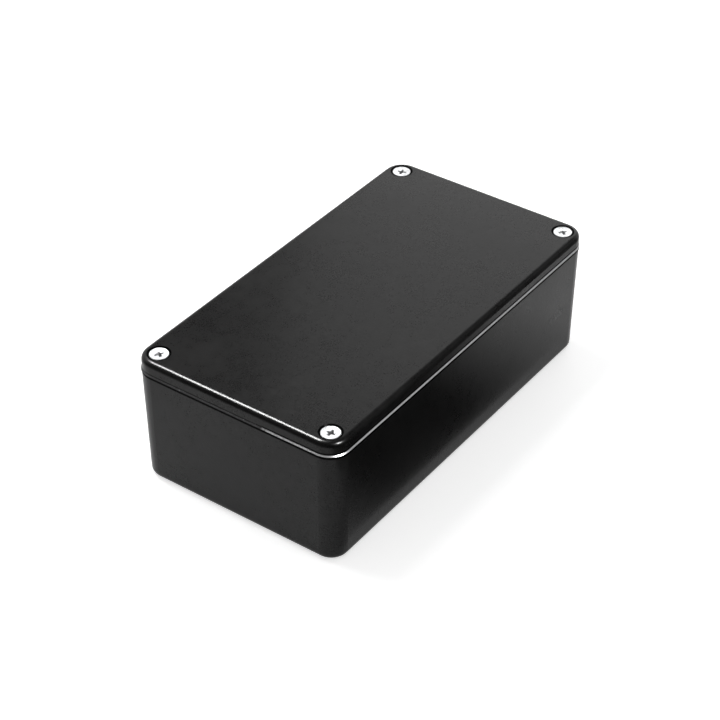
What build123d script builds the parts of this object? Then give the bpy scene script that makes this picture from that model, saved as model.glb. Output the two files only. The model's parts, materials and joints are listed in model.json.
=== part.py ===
from build123d import *
import math
import os

# Die cast aluminium enclosure in millimetres: a drafted box, a flat lid and four countersunk screws.
# +X runs along the box and +Z up through the lid, with the origin at the middle of the base.

# Box casting
box_length = 121.0
box_width = 66.0
box_height = 35.6
corner_radius = 6.0
base_radius = 2.2
wall_thickness = 2.2
floor_thickness = 2.4
floor_corner_chamfer = 1.0
rim_chamfer = 0.3
rim_bead_height = 0.8
rim_bead_depth = 0.15
outer_draft = 1.0
core_draft = 1.25

# Corner pillars, cast in one with the walls
pillar_radius = 3.9
pillar_root_radius = 2.4

# Lid casting
lid_height = 3.9
lid_plate_thickness = 2.2
lid_edge_radius = 1.5
lid_lower_chamfer = 0.3
lip_depth = 1.6
lip_thickness = 1.2
lip_chamfer = 0.4

# Countersunk screws, with the thread left plain
screw_diameter = 3.0
screw_length = 12.0
screw_inset = 5.0
screw_tip_chamfer = 0.4
head_diameter = 5.3
head_rim_height = 0.2
countersink_diameter = 6.2
countersink_angle = 90.0
recess_span = 3.0
recess_width = 0.9
recess_depth = 1.4
recess_draft = 12.0
recess_turns = (3.0, 56.0, 15.0, 62.0)

# Clearances
rim_overhang = 0.25
lip_clearance = 0.3
lid_hole_clearance = 0.2
head_clearance = 0.05
thread_clearance = 0.05
tapped_hole_spare_depth = 1.5

# Places that follow from the sizes above
wall_length = box_length - 2 * rim_bead_depth
wall_width = box_width - 2 * rim_bead_depth
lid_length = box_length - 2 * rim_overhang
lid_width = box_width - 2 * rim_overhang
lid_top = box_height + lid_height
screw_x = lid_length / 2 - screw_inset
screw_y = lid_width / 2 - screw_inset
screw_places = [(-screw_x, -screw_y), (screw_x, -screw_y), (screw_x, screw_y), (-screw_x, screw_y)]

# The head's cone stands off the countersink by its clearance, which sets how deep the head sits
half_angle = math.radians(countersink_angle / 2)
cone_gap = (countersink_diameter - head_diameter) / 2 - head_clearance / math.cos(half_angle)
screw_top = lid_top + head_rim_height - cone_gap / math.tan(half_angle)
screw_tip = screw_top - screw_length
shank_radius = screw_diameter / 2
head_radius = head_diameter / 2
head_height = head_rim_height + (head_radius - shank_radius) / math.tan(half_angle)

# The die's core and the box's outside both narrow as they go down from the rim
rim_facing_down = Plane(origin=(0, 0, box_height), x_dir=(1, 0, 0), z_dir=(0, 0, -1))


def mouth_outline(inset):
    """The box's mouth in plan: two crossing rectangles leave a pillar in each corner."""
    with BuildSketch() as outline:
        Rectangle(box_length - 2 * (wall_thickness + inset), 2 * (screw_y - pillar_radius - inset))
        Rectangle(2 * (screw_x - pillar_radius - inset), box_width - 2 * (wall_thickness + inset))
        fillet(outline.vertices().sort_by_distance((0, 0))[:4], pillar_radius + inset)
        across = outline.vertices().group_by(Axis.X)
        along = outline.vertices().group_by(Axis.Y)
        fillet(across[0] + across[-1] + along[0] + along[-1], pillar_root_radius - inset)
    return outline.sketch


# Box body: one casting with its floor, walls and pillars, and a slim bead round its rim
with BuildPart() as box_body:
    with BuildSketch(rim_facing_down):
        RectangleRounded(wall_length, wall_width, corner_radius - rim_bead_depth)
    extrude(amount=box_height, taper=outer_draft)
    fillet(box_body.faces().sort_by(Axis.Z)[0].edges(), base_radius)
    with BuildSketch(rim_facing_down):
        RectangleRounded(box_length, box_width, corner_radius)
    extrude(amount=rim_bead_height)
    with BuildSketch(rim_facing_down):
        add(mouth_outline(0))
    extrude(amount=box_height - floor_thickness, taper=core_draft, mode=Mode.SUBTRACT)
    chamfer(box_body.faces().filter_by(Axis.Z).sort_by(Axis.Z)[1].edges(), floor_corner_chamfer)
    chamfer(box_body.faces().sort_by(Axis.Z)[-1].outer_wire().edges(), rim_chamfer)
    with Locations(*[(x, y, box_height) for x, y in screw_places]):
        Hole(
            radius=shank_radius + thread_clearance,
            depth=box_height - screw_tip + tapped_hole_spare_depth,
        )

# Lid: a plate with a rounded edge, pads over the pillars and a locating lip that follows the mouth
with BuildPart() as lid:
    with BuildSketch(Plane.XY.offset(box_height)):
        RectangleRounded(lid_length, lid_width, corner_radius - rim_overhang)
    extrude(amount=lid_height)
    fillet(lid.faces().sort_by(Axis.Z)[-1].edges(), lid_edge_radius)
    chamfer(lid.faces().sort_by(Axis.Z)[0].edges(), lid_lower_chamfer)
    with BuildSketch(Plane.XY.offset(box_height)):
        add(mouth_outline(lip_clearance))
    extrude(amount=-lip_depth)
    with BuildSketch(Plane.XY.offset(box_height - lip_depth)):
        add(mouth_outline(lip_clearance + lip_thickness))
    extrude(amount=lip_depth + lid_height - lid_plate_thickness, mode=Mode.SUBTRACT)
    chamfer(lid.faces().sort_by(Axis.Z)[0].outer_wire().edges(), lip_chamfer)
    with Locations(*[(x, y, lid_top) for x, y in screw_places]):
        CounterSinkHole(
            radius=shank_radius + lid_hole_clearance,
            counter_sink_radius=countersink_diameter / 2,
            counter_sink_angle=countersink_angle,
        )

os.makedirs("parts", exist_ok=True)
box_body.part.label = "box_body"
export_step(box_body.part, "parts/box_body.step")
lid.part.label = "lid"
export_step(lid.part, "parts/lid.step")

# Screws, one in each corner: a turned head and shank, and a cross recess at its own angle
for number, ((x, y), turn) in enumerate(zip(screw_places, recess_turns), start=1):
    with BuildPart() as screw:
        with BuildSketch(Plane(origin=(x, y, screw_top), x_dir=(1, 0, 0), z_dir=(0, -1, 0))):
            with BuildLine():
                Polyline(
                    (0, 0),
                    (head_radius, 0),
                    (head_radius, -head_rim_height),
                    (shank_radius, -head_height),
                    (shank_radius, screw_tip_chamfer - screw_length),
                    (shank_radius - screw_tip_chamfer, -screw_length),
                    (0, -screw_length),
                    close=True,
                )
            make_face()
        revolve(axis=Axis((x, y, screw_top), (0, 0, 1)))
        with BuildSketch(Plane(origin=(x, y, screw_top))):
            Rectangle(recess_span, recess_width, rotation=turn)
            Rectangle(recess_width, recess_span, rotation=turn)
        extrude(amount=-recess_depth, taper=recess_draft, mode=Mode.SUBTRACT)
    screw.part.label = f"lid_screw_{number}"
    export_step(screw.part, f"parts/lid_screw_{number}.step")
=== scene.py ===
"""Finishes the die cast aluminium enclosure: satin black paint, zinc plated screws and a plain studio."""

import json
import math

import bpy
from bpy.props import FloatProperty, FloatVectorProperty, IntProperty, PointerProperty
from mathutils import Matrix, Vector


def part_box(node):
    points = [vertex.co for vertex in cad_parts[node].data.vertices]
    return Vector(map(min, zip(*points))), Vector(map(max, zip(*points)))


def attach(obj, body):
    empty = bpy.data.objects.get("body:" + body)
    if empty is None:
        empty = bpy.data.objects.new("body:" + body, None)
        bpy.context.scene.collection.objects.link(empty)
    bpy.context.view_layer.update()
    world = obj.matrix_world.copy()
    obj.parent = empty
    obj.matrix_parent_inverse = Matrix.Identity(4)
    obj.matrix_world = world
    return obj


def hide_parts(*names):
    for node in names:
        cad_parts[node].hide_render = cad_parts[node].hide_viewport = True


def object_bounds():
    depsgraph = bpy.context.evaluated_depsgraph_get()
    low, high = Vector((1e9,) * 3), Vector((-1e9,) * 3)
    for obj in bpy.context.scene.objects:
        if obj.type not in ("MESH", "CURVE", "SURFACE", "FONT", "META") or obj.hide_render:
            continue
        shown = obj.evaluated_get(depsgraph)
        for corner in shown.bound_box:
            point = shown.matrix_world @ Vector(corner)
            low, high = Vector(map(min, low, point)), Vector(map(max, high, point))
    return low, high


bl_info = {
    "name": "Die cast enclosure",
    "version": (1, 0, 0),
    "blender": (4, 5, 0),
    "location": "View3D > Sidebar > Enclosure",
    "description": "Paints the two castings, models the countersunk screws and sets up the studio",
    "category": "Object",
}

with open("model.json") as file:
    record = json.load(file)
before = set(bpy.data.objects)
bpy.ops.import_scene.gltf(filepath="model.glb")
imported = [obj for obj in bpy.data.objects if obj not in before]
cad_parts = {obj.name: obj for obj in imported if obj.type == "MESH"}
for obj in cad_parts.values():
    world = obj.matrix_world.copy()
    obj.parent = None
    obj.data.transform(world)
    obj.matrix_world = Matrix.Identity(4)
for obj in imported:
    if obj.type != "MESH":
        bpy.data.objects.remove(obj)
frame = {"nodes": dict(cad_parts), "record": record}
cad_bounds = [list(corner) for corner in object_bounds()]
record_colors = {slot["slot"]: slot["base_color"] for slot in frame["record"]["materials"]}
screw_nodes = ["lid_screw_1", "lid_screw_2", "lid_screw_3", "lid_screw_4"]
recess_turns = (3.0, 56.0, 15.0, 62.0)
box_middle = Vector((0, 0, cad_bounds[1][2] / 2))

# Sizes that the paint's marks follow, in metres. A band gives where a mark starts, is full, starts to
# fade and has faded.
corner_radius = 0.006
edge_reach = 0.0007
tapped_hole_reach = 0.00158
# The next sizes place painted shade round the countersinks and screw heads, the rim's pale line of rubbed
# paint and painted highlight, and painted shadow under the bead and along the lid's lower edge.
countersink_shade_edge = (0.00318, 0.00332)
head_shade_edge = (0.00249, 0.00258)
rub_and_highlight_edge = (0.0003, 0.00045)
rub_and_highlight_top = (0.00024, 0.00034)
bead_shadow_band = (0.00042, 0.0005, 0.0011, 0.0013)
seam_shade_band = (0.00025, 0.00035, 0.0006, 0.00075)

# Colours of the rim's pale line, which is rubbed metal and partly a painted highlight, of the thread's
# roots and crests, as painted shade and painted highlight, and of the black of the painted shade
rub_and_highlight_metal = (0.72, 0.72, 0.73, 1)
thread_root_shade = (0.30, 0.31, 0.32, 1)
thread_crest_highlight = (0.66, 0.67, 0.68, 1)
shade_black = (0.002, 0.002, 0.002, 1)


# Sizes and colours


class PaintSettings(bpy.types.PropertyGroup):
    """The satin black paint on both castings."""

    box_color: FloatVectorProperty(
        name="Box colour",
        description="Colour of the paint on the box",
        subtype="COLOR",
        default=record_colors["box_paint"],
        min=0.0,
        max=1.0,
    )
    lid_color: FloatVectorProperty(
        name="Lid colour",
        description="Colour of the paint on the lid",
        subtype="COLOR",
        default=record_colors["lid_paint"],
        min=0.0,
        max=1.0,
    )
    roughness: FloatProperty(
        name="Roughness",
        description="How satin the paint is: lower is glossier",
        subtype="FACTOR",
        default=0.3,
        min=0.05,
        max=1.0,
    )
    peel_width: FloatProperty(
        name="Orange peel width",
        description="Distance across one dimple of the sprayed paint",
        unit="LENGTH",
        default=0.0009,
        min=0.0001,
        precision=5,
    )
    peel_height: FloatProperty(
        name="Orange peel height",
        description="Height of the sprayed paint's dimples",
        unit="LENGTH",
        default=0.000012,
        min=0.0,
        precision=6,
    )
    grain_width: FloatProperty(
        name="Grain width",
        description="Width of the fine grain in the paint",
        unit="LENGTH",
        default=0.0004,
        min=0.00002,
        precision=5,
    )
    grain_height: FloatProperty(
        name="Grain height",
        description="Height of the fine grain in the paint",
        unit="LENGTH",
        default=0.000004,
        min=0.0,
        precision=7,
    )


class ScrewSettings(bpy.types.PropertyGroup):
    """The zinc plated countersunk screws."""

    zinc_color: FloatVectorProperty(
        name="Zinc colour",
        description="Colour of the bright zinc plating",
        subtype="COLOR",
        default=record_colors["screw_zinc"],
        min=0.0,
        max=1.0,
    )
    pitch: FloatProperty(
        name="Thread pitch",
        description="Distance from one turn of the thread to the next",
        unit="LENGTH",
        default=0.0005,
        min=0.0002,
        precision=5,
    )
    thread_turns: IntProperty(
        name="Thread turns",
        description="How many turns the thread has",
        default=19,
        min=1,
        max=40,
    )
    core_radius: FloatProperty(
        name="Core radius",
        description="Radius of the shank between the turns of the thread",
        unit="LENGTH",
        default=0.00121,
        min=0.0005,
        precision=5,
    )
    recess_span: FloatProperty(
        name="Recess span",
        description="Width across the cross recess",
        unit="LENGTH",
        default=0.0031,
        min=0.001,
        precision=5,
    )
    recess_width: FloatProperty(
        name="Recess slot width",
        description="Width of one slot of the cross recess",
        unit="LENGTH",
        default=0.0009,
        min=0.0002,
        precision=5,
    )
    recess_depth: FloatProperty(
        name="Recess depth",
        description="Depth of the cross recess",
        unit="LENGTH",
        default=0.0015,
        min=0.0005,
        precision=5,
    )


class StageSettings(bpy.types.PropertyGroup):
    """The camera, the floor and the lights."""

    azimuth: FloatProperty(
        name="Camera azimuth",
        description="Turn of the camera round the box, from the middle of its long side",
        subtype="ANGLE",
        default=math.radians(-54.21),
    )
    elevation: FloatProperty(
        name="Camera elevation",
        description="Height of the camera above the horizon",
        subtype="ANGLE",
        default=math.radians(37.10),
    )
    roll: FloatProperty(
        name="Camera roll",
        description="Turn of the camera about its own line of sight",
        subtype="ANGLE",
        default=math.radians(-0.05),
    )
    distance: FloatProperty(
        name="Camera distance",
        description="Distance from the camera to the point it looks at",
        unit="LENGTH",
        default=0.5553,
        min=0.1,
    )
    aim: FloatVectorProperty(
        name="Aim",
        description="How far right of and above the box's middle the camera looks",
        size=2,
        unit="LENGTH",
        default=(-0.00255, -0.00333),
        precision=5,
    )
    lens: FloatProperty(
        name="Lens",
        description="Focal length on a sensor 36 mm wide",
        unit="CAMERA",
        default=100.12,
        min=10.0,
    )
    key_level: FloatProperty(
        name="Key light",
        description="Light that the key light gives to the box, where 1 shows a colour as it is written",
        default=0.4,
        min=0.0,
    )
    strip_level: FloatProperty(
        name="Gloss lights",
        description="Strength of the two lights that only the gloss shows, on the lid's edge and corner",
        default=2.7,
        min=0.0,
    )
    side_level: FloatProperty(
        name="Side light",
        description="Light that the soft box behind the lid gives, where 1 shows a colour as it is written",
        default=0.12,
        min=0.0,
    )
    sky_level: FloatProperty(
        name="Surrounding light",
        description="Light from all round, where 1 shows a colour as it is written",
        default=0.5,
        min=0.0,
    )
    floor_color: FloatVectorProperty(
        name="Floor colour",
        description="Colour of the floor",
        subtype="COLOR",
        default=(0.82, 0.82, 0.82),
        min=0.0,
        max=1.0,
    )


# Shader maths


class Value:
    """What comes out of a shader node, so that sums and masks can be written as plain expressions."""

    def __init__(self, shader, socket):
        self.shader = shader
        self.socket = socket

    def maths(self, operation, first, second=0.0, third=0.0):
        """Adds one Math node."""
        inputs = {0: first, 1: second, 2: third}
        return self.shader.add("ShaderNodeMath", {"operation": operation}, inputs)

    def __add__(self, other):
        return self.maths("ADD", self, other)

    def __radd__(self, other):
        return self.maths("ADD", other, self)

    def __sub__(self, other):
        return self.maths("SUBTRACT", self, other)

    def __rsub__(self, other):
        return self.maths("SUBTRACT", other, self)

    def __mul__(self, other):
        return self.maths("MULTIPLY", self, other)

    def __rmul__(self, other):
        return self.maths("MULTIPLY", other, self)

    def __truediv__(self, other):
        return self.maths("DIVIDE", self, other)

    def __rtruediv__(self, other):
        return self.maths("DIVIDE", other, self)

    def __pow__(self, other):
        return self.maths("POWER", self, other)

    def __abs__(self):
        return self.maths("ABSOLUTE", self)

    def __lt__(self, other):
        return self.maths("LESS_THAN", self, other)

    def __gt__(self, other):
        return self.maths("GREATER_THAN", self, other)

    def root(self):
        """The square root."""
        return self.maths("SQRT", self)

    def sign(self):
        """-1, 0 or 1."""
        return self.maths("SIGN", self)

    def larger(self, other):
        """The larger of two numbers."""
        return self.maths("MAXIMUM", self, other)

    def zigzag(self, size):
        """Climbs to a size and comes back down, over and over."""
        return self.maths("PINGPONG", self, size)


class Shader:
    """The node tree of a material or of the world."""

    def __init__(self, tree):
        self.tree = tree
        self.tree.nodes.clear()

    def add(self, kind, settings=None, inputs=None, output=0):
        """Adds a node: first its settings, then the values or links of its sockets."""
        node = self.tree.nodes.new(kind)
        for name, value in (settings or {}).items():
            setattr(node, name, value)
        for key, value in (inputs or {}).items():
            if isinstance(value, Value):
                self.tree.links.new(value.socket, node.inputs[key])
            else:
                node.inputs[key].default_value = value
        return Value(self, node.outputs[output]) if node.outputs else None

    def place(self):
        """The point on the piece, in metres."""
        return self.add("ShaderNodeTexCoord", output="Object")

    def axes(self, place):
        """The point's X, Y and Z as three numbers."""
        split = self.add("ShaderNodeSeparateXYZ", inputs={"Vector": place})
        outputs = split.socket.node.outputs
        return [Value(self, outputs[axis]) for axis in ("X", "Y", "Z")]

    def noise(self, place, width, detail=2.0, roughness=0.5):
        """Soft blotches of about a width across, from 0 to 1."""
        inputs = {"Vector": place, "Scale": 1 / width, "Detail": detail, "Roughness": roughness}
        return self.add("ShaderNodeTexNoise", inputs=inputs, output="Fac")

    def step(self, value, low, high, start=0.0, end=1.0):
        """Goes smoothly from start to end while a value goes from low to high."""
        settings = {"interpolation_type": "SMOOTHSTEP"}
        inputs = {"Value": value, "From Min": low, "From Max": high, "To Min": start, "To Max": end}
        return self.add("ShaderNodeMapRange", settings, inputs)

    def band(self, value, start, full, fade, end):
        """1 while a value lies between full and fade, and 0 before start and past end."""
        return self.step(value, start, full) * self.step(value, fade, end, 1.0, 0.0)

    def blend(self, share, first, second):
        """Mixes two colours."""
        inputs = {0: share, 6: first, 7: second}
        return self.add("ShaderNodeMix", {"data_type": "RGBA"}, inputs, output=2)

    def bump(self, height):
        """Turns a height in metres into a surface direction."""
        return self.add("ShaderNodeBump", inputs={"Strength": 1.0, "Distance": 1.0, "Height": height})


def opaque(color, level=1.0):
    """A colour with its alpha, at a level."""
    return (color[0] * level, color[1] * level, color[2] * level, 1.0)


def new_material(name):
    """A material with an empty node tree."""
    material = bpy.data.materials.new(name)
    material.use_nodes = True
    return material, Shader(material.node_tree)


def corner_distance(shader, place):
    """Distance from the nearest screw's axis, and the turn round it, from -0.5 to 0.5."""
    low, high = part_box("lid_screw_3")
    x, y, z = shader.axes(place)
    across = abs(x) - (low.x + high.x) / 2
    along = abs(y) - (low.y + high.y) / 2
    distance = (across * across + along * along).root()
    turn = across.maths("ARCTAN2", along, across) / math.tau * (x * y).sign()
    return distance, turn, z


def paint_material(name, color, paint):
    """Satin black paint: orange peel, a fine grain, and a gloss that wanders a little."""
    material, shader = new_material(name)
    place = shader.place()
    clouds = shader.noise(place, 0.022, detail=3.0)
    patches = shader.noise(place, 0.004, detail=3.0, roughness=0.6)
    peel = shader.noise(place, paint.peel_width, detail=1.0)
    grain = shader.noise(place, paint.grain_width, detail=2.0, roughness=0.7)
    waves = shader.noise(place, 0.012, detail=1.0)
    specks = shader.step(shader.noise(place, 0.0006, detail=0.0), 0.76, 0.82)

    tone = clouds * 0.5 + patches * 0.3 + grain * 0.2
    painted = shader.blend(shader.step(tone, 0.3, 0.7), opaque(color, 0.75), opaque(color, 1.35))
    painted = shader.blend(specks * 0.35, painted, opaque(color, 3.0))
    roughness = paint.roughness + (clouds - 0.5) * 0.12 + (patches - 0.5) * 0.1 + (grain - 0.5) * 0.16
    gloss = (0.13 + (patches - 0.5) * 0.06 + (grain - 0.5) * 0.6).larger(0)
    height = peel * paint.peel_height + grain * paint.grain_height + waves * 0.00004
    return material, shader, place, painted, roughness, gloss, height


def finish_paint(shader, painted, roughness, gloss, height, painted_shade, metallic=0.0):
    """Puts the paint's colour, gloss and height on the surface, with matt black painted shade where a mask
    asks for it.
    """
    inputs = {
        "Base Color": painted,
        "Metallic": metallic,
        "Roughness": roughness,
        "Normal": shader.bump(height),
        "Specular IOR Level": 0.12,
        "Coat Weight": gloss,
        "Coat Roughness": 0.14,
        "Coat IOR": 1.5,
    }
    surface = shader.add("ShaderNodeBsdfPrincipled", inputs=inputs)
    # The matt black mixed in here is painted shade.
    matt = shader.add("ShaderNodeBsdfDiffuse", inputs={"Color": shade_black})
    surface = shader.add("ShaderNodeMixShader", inputs={0: painted_shade, 1: surface, 2: matt})
    shader.add("ShaderNodeOutputMaterial", inputs={"Surface": surface})


def box_material(settings):
    """The box's paint, with rubbed paint and a painted highlight along the rim's edge and a painted shadow
    under the rim's bead, and bare thread in the tapped holes of its pillars, its roots darkened as painted
    shade.
    """
    paint = settings.paint
    material, shader, place, painted, roughness, gloss, height = paint_material(
        "box_satin_paint", paint.box_color, paint
    )
    distance, turn, z = corner_distance(shader, place)
    bare = distance < tapped_hole_reach
    thread = (z / settings.screws.pitch + turn).zigzag(0.5) * 0.0003
    # The thread's roots are coloured darker as painted shade and its crests lighter as painted highlight.
    cut_metal = shader.blend(thread * 3000, thread_root_shade, thread_crest_highlight)
    # The rim's pale line is rubbed paint and partly a painted highlight; the black band under the bead is a
    # painted shadow.
    rubbed_and_highlight, bead_shadow = rim_rub_highlight_and_shade(shader, place)
    painted = shader.blend(rubbed_and_highlight, painted, rub_and_highlight_metal)
    finish_paint(
        shader,
        shader.blend(bare, painted, cut_metal),
        roughness * (1 - bare) + bare * 0.3,
        gloss * (1 - bare) * (1 - rubbed_and_highlight),
        height * (1 - bare) + thread * bare,
        bead_shadow,
        metallic=bare.larger(rubbed_and_highlight * 0.4),
    )
    return material


def edge_depth(shader, place):
    """How far a point lies inside the box's outline in plan, its Y, and its height above the rim."""
    low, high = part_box("box_body")
    x, y, z = shader.axes(place)
    out_x = (abs(x) - (high.x - corner_radius)).larger(0)
    out_y = (abs(y) - (high.y - corner_radius)).larger(0)
    return corner_radius - (out_x * out_x + out_y * out_y).root(), y, z - high.z


def rim_rub_highlight_and_shade(shader, place):
    """Where paint is rubbed off the rim's outer edge, also a painted highlight that is stronger on the -Y
    side, and a painted shadow under the rim's bead.
    """
    inside, y, above = edge_depth(shader, place)
    below = above * -1
    edge = shader.step(inside, *rub_and_highlight_edge, 1.0, 0.0) * shader.step(below, *rub_and_highlight_top, 1.0, 0.0)
    rubbed = shader.noise(place, 0.003, detail=4.0, roughness=0.7)
    # Painted highlight: the pale rim line is made stronger on the -Y side.
    front_side_highlight = shader.step(y * -1, -0.004, 0.03)
    # The 0.1 floor keeps a faint pale line all round the rim, as a painted highlight.
    rubbed_and_highlight = edge * shader.step(rubbed + front_side_highlight * 0.5, 0.62, 0.8).larger(0.1)
    # Painted shadow: a matt black band just under the rim's bead.
    bead_shadow = shader.band(below, *bead_shadow_band) * (inside < edge_reach)
    return rubbed_and_highlight, bead_shadow


def lid_material(settings):
    """The lid's paint, with painted shade in and round the countersinks and a painted dark line along part
    of its lower edge.
    """
    paint = settings.paint
    material, shader, place, painted, roughness, gloss, height = paint_material(
        "lid_satin_paint", paint.lid_color, paint
    )
    distance, _, _ = corner_distance(shader, place)
    # Painted shade: the countersinks and a ring round them go matt black.
    recess_shade = shader.step(distance, *countersink_shade_edge, 1.0, 0.0)
    inside, y, above = edge_depth(shader, place)
    # Painted shadow: a dark line along the lid's lower edge, on the -Y side only.
    near_side = shader.step(y * -1, 0.006, 0.014)
    seam_shade = shader.band(above, *seam_shade_band) * (inside < edge_reach) * near_side
    finish_paint(shader, painted, roughness, gloss, height, (recess_shade * 0.95).larger(seam_shade * 0.8))
    return material


def zinc_material(settings):
    """Bright zinc plating: faint turning marks, soft blotches, and painted shade in the recess and round
    the head's outer edge.
    """
    material, shader = new_material("screw_bright_zinc")
    place = shader.place()
    distance, _, z = corner_distance(shader, place)
    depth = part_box("lid_screw_1")[1].z - z
    blotches = shader.noise(place, 0.0012, detail=3.0, roughness=0.6)
    grain = shader.noise(place, 0.00012, detail=2.0)
    rings = (distance + blotches * 0.00004).zigzag(0.00006) / 0.00006

    zinc = settings.screws.zinc_color
    bright = opaque(zinc, 1.05)
    dull = opaque(zinc, 0.72)
    plated = shader.blend(shader.step(blotches, 0.35, 0.7), bright, dull)
    plated = shader.blend(rings * 0.12, plated, opaque(zinc, 0.6))
    # Painted shade: the cross recess goes dark and less metallic.
    recess_shade = shader.step(depth, 0.00004, 0.0004) * (distance < 0.0019)
    plated = shader.blend(recess_shade * 0.9, plated, opaque(zinc, 0.08))
    # Painted shade: the head's outermost edge goes dark and less metallic.
    head_edge_shade = shader.step(distance, *head_shade_edge)
    plated = shader.blend(head_edge_shade * 0.85, plated, opaque(zinc, 0.05))
    roughness = 0.24 + blotches * 0.14 + grain * 0.08 + recess_shade * 0.2
    height = rings * 0.0000012 + grain * 0.000002 + blotches * 0.000008
    inputs = {
        "Base Color": plated,
        "Metallic": 1 - recess_shade.larger(head_edge_shade) * 0.85,
        "Roughness": roughness,
        "Normal": shader.bump(height),
    }
    surface = shader.add("ShaderNodeBsdfPrincipled", inputs=inputs)
    shader.add("ShaderNodeOutputMaterial", inputs={"Surface": surface})
    return material


def floor_material(settings):
    """A pale floor that shows as white round the box and keeps the box's shadow."""
    material, shader = new_material("studio_floor")
    place = shader.place()
    mottle = shader.noise(place, 0.05, detail=3.0)
    color = settings.stage.floor_color
    tone = shader.blend(mottle, opaque(color, 0.98), opaque(color, 1.02))
    surface = shader.add("ShaderNodeBsdfDiffuse", inputs={"Color": tone})
    seen = seen_rays(shader)
    direct = shader.add("ShaderNodeLightPath", output="Is Camera Ray")
    strength = seen * 0.4 + direct * 0.2
    glow = shader.add("ShaderNodeEmission", inputs={"Color": (1, 1, 1, 1), "Strength": strength})
    lit = shader.add("ShaderNodeAddShader", inputs={0: surface, 1: glow})
    shader.add("ShaderNodeOutputMaterial", inputs={"Surface": lit})
    return material


def seen_rays(shader):
    """1 for what the camera sees directly, in a gloss or through glass, and 0 for light on the box."""
    path = shader.add("ShaderNodeLightPath", output="Is Camera Ray")
    outputs = path.socket.node.outputs
    glossy = Value(shader, outputs["Is Glossy Ray"])
    through = Value(shader, outputs["Is Transmission Ray"])
    return path.larger(glossy).larger(through)


# Modelling


def deselect_all():
    """Leaves no object selected, in object mode."""
    bpy.ops.object.select_all(action="DESELECT")


def pick_faces(test):
    """Selects the faces that pass a test on their centre and normal, in the mesh being edited."""
    bpy.ops.mesh.select_mode(type="FACE")
    bpy.ops.mesh.select_all(action="DESELECT")
    bpy.ops.object.mode_set(mode="OBJECT")
    for face in bpy.context.object.data.polygons:
        face.select = test(face.center, face.normal)
    bpy.ops.object.mode_set(mode="EDIT")


def pull_face(length, scale):
    """Extrudes the selected face along Z and scales its new end about the Z axis."""
    bpy.ops.mesh.extrude_region_move(TRANSFORM_OT_translate={"value": (0, 0, length)})
    bpy.ops.transform.resize(value=(scale, scale, 1), center_override=(0, 0, 0))


def apply_modifier(piece, kind, **settings):
    """Adds a modifier to a piece and applies it."""
    modifier = piece.modifiers.new(kind.lower(), kind)
    for name, value in settings.items():
        setattr(modifier, name, value)
    deselect_all()
    piece.select_set(True)
    bpy.context.view_layer.objects.active = piece
    bpy.ops.object.modifier_apply(modifier=modifier.name)


def weld(piece, reach):
    """Merges the points of the active piece that lie within a reach, and turns its faces outwards."""
    bpy.ops.object.mode_set(mode="EDIT")
    bpy.ops.mesh.select_all(action="SELECT")
    bpy.ops.mesh.remove_doubles(threshold=reach)
    bpy.ops.mesh.normals_make_consistent(inside=False)
    bpy.ops.object.mode_set(mode="OBJECT")


def screw_blank(head_radius, rim_height, shank_radius, length, core_radius):
    """A countersunk head on a plain core, with its top at the origin."""
    deselect_all()
    bpy.ops.mesh.primitive_cylinder_add(
        vertices=72, radius=head_radius, depth=rim_height, location=(0, 0, -rim_height / 2)
    )
    blank = bpy.context.object
    bpy.ops.object.transform_apply(location=True, rotation=True, scale=True)
    head_height = rim_height + head_radius - shank_radius
    bpy.ops.object.mode_set(mode="EDIT")
    pick_faces(lambda center, normal: normal.z < -0.9)
    pull_face(rim_height - head_height, shank_radius / head_radius)
    pull_face(-0.0003, core_radius / shank_radius)
    pull_face(head_height + 0.0003 + 0.0004 - length, 1.0)
    pull_face(-0.0004, 0.7)
    pick_faces(lambda center, normal: normal.z > 0.9)
    bpy.ops.mesh.inset(thickness=0.00022, depth=0.0)
    bpy.ops.mesh.inset(thickness=0.0001, depth=-0.00003)
    bpy.ops.object.mode_set(mode="OBJECT")
    return blank


def cut_recess(screw, span, width, depth):
    """Cuts a cross recess with slots that narrow as they go down."""
    for turn in (0.0, math.pi / 2):
        deselect_all()
        bpy.ops.mesh.primitive_cube_add(
            size=1, location=(0, 0, -depth / 2), scale=(span, width, depth * 1.2), rotation=(0, 0, turn)
        )
        slot = bpy.context.object
        slot.location.z += depth * 0.1
        bpy.ops.object.transform_apply(location=True, rotation=True, scale=True)
        narrow = (0.36, 0.62) if turn == 0 else (0.62, 0.36)
        bpy.ops.object.mode_set(mode="EDIT")
        pick_faces(lambda center, normal: normal.z < -0.9)
        bpy.ops.transform.resize(value=(narrow[0], narrow[1], 1), center_override=(0, 0, 0))
        bpy.ops.object.mode_set(mode="OBJECT")
        cut_with(screw, slot)
    deselect_all()
    bpy.ops.mesh.primitive_cone_add(
        vertices=24,
        radius1=0.0002,
        radius2=width * 0.95,
        depth=depth * 1.4,
        location=(0, 0, -depth * 0.5),
    )
    bpy.ops.object.transform_apply(location=True, rotation=True, scale=True)
    cut_with(screw, bpy.context.object)


def cut_with(piece, cutter):
    """Takes a cutter's shape out of a piece and deletes the cutter."""
    apply_modifier(piece, "BOOLEAN", operation="DIFFERENCE", solver="EXACT", object=cutter)
    bpy.data.objects.remove(cutter)


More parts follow.
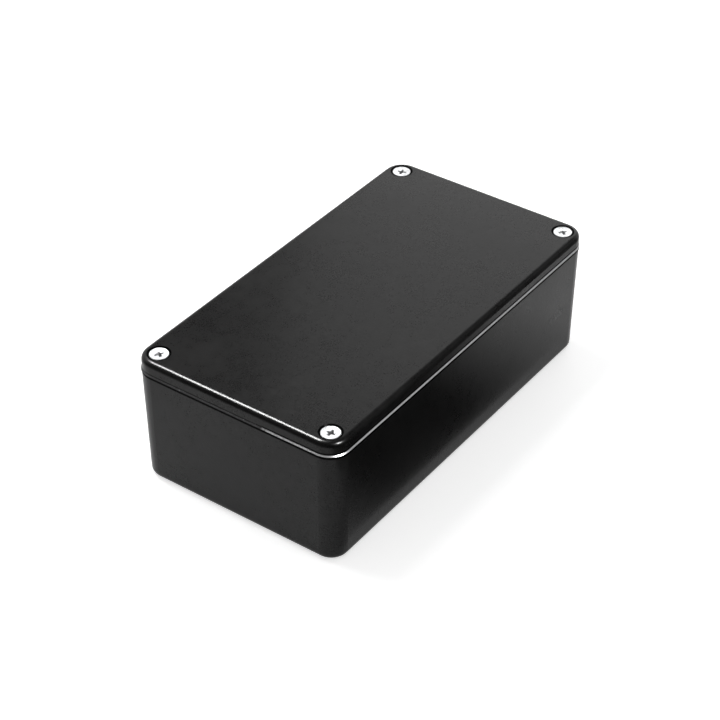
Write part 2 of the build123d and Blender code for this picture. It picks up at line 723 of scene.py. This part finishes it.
def thread_ridge(outer_radius, core_radius, pitch, turns, length):
    """The helical ridge of the thread, with closed ends."""
    deselect_all()
    inner = core_radius - 0.00008
    bpy.ops.mesh.primitive_plane_add(
        size=1, location=((inner + outer_radius) / 2, 0, 0), rotation=(math.pi / 2, 0, 0)
    )
    ridge = bpy.context.object
    ridge.scale = (outer_radius - inner, pitch * 0.94, 1)
    bpy.ops.object.transform_apply(location=True, rotation=True, scale=True)
    bpy.ops.object.mode_set(mode="EDIT")
    bpy.ops.mesh.select_mode(type="VERT")
    bpy.ops.mesh.select_all(action="DESELECT")
    bpy.ops.object.mode_set(mode="OBJECT")
    for vertex in ridge.data.vertices:
        vertex.select = vertex.co.x > core_radius
    bpy.ops.object.mode_set(mode="EDIT")
    bpy.ops.transform.resize(value=(1, 1, 0.14), center_override=(0, 0, 0))
    bpy.ops.mesh.select_all(action="SELECT")
    bpy.ops.transform.translate(value=(0, 0, pitch * 0.6 - length))
    bpy.ops.mesh.delete(type="ONLY_FACE")
    bpy.ops.object.mode_set(mode="OBJECT")
    apply_modifier(
        ridge, "SCREW", angle=math.tau, screw_offset=pitch, iterations=turns, steps=28, render_steps=28
    )
    bpy.ops.object.mode_set(mode="EDIT")
    bpy.ops.mesh.select_all(action="SELECT")
    bpy.ops.mesh.remove_doubles(threshold=0.000002)
    bpy.ops.mesh.fill_holes(sides=0)
    bpy.ops.mesh.select_all(action="SELECT")
    bpy.ops.mesh.normals_make_consistent(inside=False)
    bpy.ops.object.mode_set(mode="OBJECT")
    return ridge


def smooth(piece, angle):
    """Shades a piece smooth, apart from its edges sharper than an angle."""
    deselect_all()
    piece.select_set(True)
    bpy.context.view_layer.objects.active = piece
    bpy.ops.object.shade_smooth_by_angle(angle=angle)


# Operators


class ENCLOSURE_OT_paint_box(bpy.types.Operator):
    """Paint the box casting satin black"""

    bl_idname = "enclosure.paint_box"
    bl_label = "Paint the box"
    bl_options = {"REGISTER", "UNDO"}

    def execute(self, context):
        box = frame["nodes"]["box_body"]
        box.data.materials[0] = box_material(context.scene.enclosure)
        return {"FINISHED"}


class ENCLOSURE_OT_paint_lid(bpy.types.Operator):
    """Paint the lid casting satin black"""

    bl_idname = "enclosure.paint_lid"
    bl_label = "Paint the lid"
    bl_options = {"REGISTER", "UNDO"}

    def execute(self, context):
        lid = frame["nodes"]["lid"]
        lid.data.materials[0] = lid_material(context.scene.enclosure)
        return {"FINISHED"}


class ENCLOSURE_OT_model_screws(bpy.types.Operator):
    """Model one countersunk screw and put a copy in each corner"""

    bl_idname = "enclosure.model_screws"
    bl_label = "Model the screws"
    bl_options = {"REGISTER", "UNDO"}

    def execute(self, context):
        settings = context.scene.enclosure
        screws = settings.screws
        low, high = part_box("lid_screw_1")
        length = high.z - low.z
        master = screw_blank((high.x - low.x) / 2, 0.0002, 0.0015, length, screws.core_radius)
        cut_recess(master, screws.recess_span, screws.recess_width, screws.recess_depth)
        apply_modifier(
            master,
            "BEVEL",
            width=0.00005,
            segments=2,
            limit_method="ANGLE",
            angle_limit=math.radians(32),
            use_clamp_overlap=True,
        )
        weld(master, 0.0000005)
        ridge = thread_ridge(0.00149, screws.core_radius, screws.pitch, screws.thread_turns, length)
        deselect_all()
        ridge.select_set(True)
        master.select_set(True)
        context.view_layer.objects.active = master
        bpy.ops.object.join()
        smooth(master, math.radians(30))

        zinc = zinc_material(settings)
        for number, (node, turn) in enumerate(zip(screw_nodes, recess_turns), start=1):
            low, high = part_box(node)
            screw = master.copy()
            screw.data = master.data.copy()
            screw.name = f"screw_{number}_zinc"
            context.scene.collection.objects.link(screw)
            axis = (low + high) / 2
            screw.matrix_world = Matrix.Translation((axis.x, axis.y, high.z)) @ Matrix.Rotation(
                math.radians(turn), 4, "Z"
            )
            deselect_all()
            screw.select_set(True)
            context.view_layer.objects.active = screw
            bpy.ops.object.transform_apply(location=True, rotation=True, scale=True)
            screw.data.materials.clear()
            screw.data.materials.append(zinc)
            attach(screw, f"screw_{number}")
            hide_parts(node)
        bpy.data.objects.remove(master)
        return {"FINISHED"}


class ENCLOSURE_OT_set_stage(bpy.types.Operator):
    """Set up the floor, the lights and the camera"""

    bl_idname = "enclosure.set_stage"
    bl_label = "Set up the studio"
    bl_options = {"REGISTER", "UNDO"}

    def execute(self, context):
        settings = context.scene.enclosure
        self.lay_floor(settings)
        self.light_world(context, settings)
        self.place_lights(settings.stage)
        self.place_flags()
        self.place_camera(context, settings)
        view = context.scene.view_settings
        view.view_transform = "Standard"
        return {"FINISHED"}

    def place_lights(self, stage):
        """A key light, a soft box behind the lid, and two lights that only gloss shows."""
        above = Vector((-0.05, 0.467, 0.883))
        beside = Vector((0.785, 0.295, 0.54))
        front = Vector((-0.104, -0.733, 0.671))
        add_area_light("key_light", box_middle, above, 0.75, 0.3, 0.3, stage.key_level)
        add_area_light("side_light", box_middle, beside, 0.9, 0.5, 0.42, stage.side_level)
        strip = add_area_light("strip_light", box_middle, above, 0.7, 0.3, 0.17, stage.strip_level)
        strip.visible_diffuse = False
        glint = add_area_light("glint_light", box_middle, front, 0.9, 0.26, 0.26, stage.strip_level)
        glint.visible_diffuse = False

    def place_flags(self):
        """Black cards above, in front, to the left and on the floor, which darken the paint's gloss."""
        upright = math.pi / 2
        flat = (0, 0, 0)
        add_flag("flag_overhead", 2.4, 2.4, (0, 0, 0.9), flat)
        add_flag("flag_front", 3.6, 0.9, (0.6, -1.2, 0.45), (upright, 0, 0))
        add_flag("flag_left", 3.6, 0.9, (-1.2, 0.6, 0.45), (upright, 0, upright))
        add_flag("flag_low", 0.15, 0.06, (-0.005, -0.066, 0.0001), flat, fade=0.06)
        add_flag("flag_low_front", 1.54, 1.13, (-0.43, -0.631, 0.0002), flat, fade=0.08)
        add_flag("flag_low_left", 1.08, 1.8, (-0.66, 0.35, 0.0003), flat, fade=0.05)

    def lay_floor(self, settings):
        """A wide plain floor under the box."""
        deselect_all()
        bpy.ops.mesh.primitive_circle_add(
            vertices=64, radius=3.0, fill_type="NGON", location=(0, 0, -0.00005)
        )
        floor = bpy.context.object
        floor.name = "floor"
        bpy.ops.object.transform_apply(location=True, rotation=True, scale=True)
        floor.data.materials.append(floor_material(settings))

    def light_world(self, context, settings):
        """Even light from all round, and a white background."""
        world = bpy.data.worlds.new("studio")
        world.use_nodes = True
        context.scene.world = world
        shader = Shader(world.node_tree)
        level = settings.stage.sky_level
        grey = (level, level, level, 1)
        light = shader.add("ShaderNodeBackground", inputs={"Color": grey, "Strength": 1.0})
        white = shader.add("ShaderNodeBackground", inputs={"Color": (1, 1, 1, 1), "Strength": 1.0})
        mixed = shader.add("ShaderNodeMixShader", inputs={0: seen_rays(shader), 1: light, 2: white})
        shader.add("ShaderNodeOutputWorld", inputs={"Surface": mixed})

    def place_camera(self, context, settings):
        """A camera at the photograph's viewing angle."""
        stage = settings.stage
        azimuth = stage.azimuth
        elevation = stage.elevation
        back = Vector(
            (
                math.sin(azimuth) * math.cos(elevation),
                -math.cos(azimuth) * math.cos(elevation),
                math.sin(elevation),
            )
        )
        right = Vector((math.cos(azimuth), math.sin(azimuth), 0))
        up = back.cross(right)
        turned_right = math.cos(stage.roll) * right + math.sin(stage.roll) * up
        turned_up = -math.sin(stage.roll) * right + math.cos(stage.roll) * up
        target = box_middle + stage.aim[0] * turned_right + stage.aim[1] * turned_up
        deselect_all()
        bpy.ops.object.camera_add()
        camera = bpy.context.object
        camera.name = "camera"
        camera.data.sensor_width = 36
        camera.data.lens = stage.lens
        rotation = Matrix((turned_right, turned_up, back)).transposed().to_4x4()
        camera.matrix_world = Matrix.Translation(target + back * stage.distance) @ rotation
        camera.data.clip_start = 0.01
        camera.data.clip_end = 20
        context.scene.camera = camera


def add_flag(name, width, height, place, turn, fade=0.0):
    """A black card that the camera doesn't see. A fade clears its two ends along X."""
    deselect_all()
    bpy.ops.mesh.primitive_plane_add(size=1, location=place, rotation=turn)
    flag = bpy.context.object
    flag.name = name
    flag.scale = (width, height, 1)
    bpy.ops.object.transform_apply(location=True, rotation=True, scale=True)
    material, shader = new_material(f"{name}_black_card")
    nap = shader.noise(shader.place(), 0.01)
    tone = shader.blend(nap, (0.01, 0.01, 0.01, 1), (0.03, 0.03, 0.03, 1))
    surface = shader.add("ShaderNodeBsdfDiffuse", inputs={"Color": tone})
    if fade:
        x, y, z = shader.axes(shader.place())
        solid = shader.step(abs(x - place[0]), width / 2 - fade, width / 2, 1.0, 0.0)
        clear = shader.add("ShaderNodeBsdfTransparent")
        surface = shader.add("ShaderNodeMixShader", inputs={0: solid, 1: clear, 2: surface})
    shader.add("ShaderNodeOutputMaterial", inputs={"Surface": surface})
    flag.data.materials.append(material)
    flag.visible_camera = False
    flag.visible_diffuse = False
    flag.visible_shadow = False
    return flag


def add_area_light(name, target, direction, distance, width, height, level):
    """A soft light that shows a flat pale face at a level where it faces the light."""
    deselect_all()
    bpy.ops.object.light_add(type="AREA")
    light = bpy.context.object
    light.name = name
    light.data.shape = "RECTANGLE"
    light.data.size = width
    light.data.size_y = height
    light.data.energy = level * (math.pi * distance) ** 2
    direction = direction.normalized()
    light.location = target + direction * distance
    light.rotation_mode = "QUATERNION"
    light.rotation_quaternion = direction.to_track_quat("Z", "Y")
    return light


class EnclosureSettings(bpy.types.PropertyGroup):
    """Everything that the panel offers."""

    paint: PointerProperty(type=PaintSettings, name="Paint", description="The paint on the castings")
    screws: PointerProperty(type=ScrewSettings, name="Screws", description="The lid's screws")
    stage: PointerProperty(type=StageSettings, name="Studio", description="Camera, floor and lights")


class ENCLOSURE_PT_panel(bpy.types.Panel):
    """Lists the enclosure's settings and the steps that use them"""

    bl_idname = "ENCLOSURE_PT_panel"
    bl_label = "Die cast enclosure"
    bl_space_type = "VIEW_3D"
    bl_region_type = "UI"
    bl_category = "Enclosure"

    def draw(self, context):
        layout = self.layout
        settings = context.scene.enclosure
        groups = (
            (settings.paint, ("enclosure.paint_box", "enclosure.paint_lid")),
            (settings.screws, ("enclosure.model_screws",)),
            (settings.stage, ("enclosure.set_stage",)),
        )
        for group, operators in groups:
            box = layout.box()
            for name in group.__annotations__:
                box.prop(group, name)
            for operator in operators:
                box.operator(operator)


classes = (
    PaintSettings,
    ScrewSettings,
    StageSettings,
    EnclosureSettings,
    ENCLOSURE_OT_paint_box,
    ENCLOSURE_OT_paint_lid,
    ENCLOSURE_OT_model_screws,
    ENCLOSURE_OT_set_stage,
    ENCLOSURE_PT_panel,
)


def register():
    for item in classes:
        bpy.utils.register_class(item)
    bpy.types.Scene.enclosure = PointerProperty(type=EnclosureSettings)


def unregister():
    del bpy.types.Scene.enclosure
    for item in reversed(classes):
        bpy.utils.unregister_class(item)


def main():
    """Makes the whole scene."""
    register()
    bpy.ops.enclosure.paint_box()
    bpy.ops.enclosure.paint_lid()
    bpy.ops.enclosure.model_screws()
    bpy.ops.enclosure.set_stage()


if __name__ == "__main__":
    main()
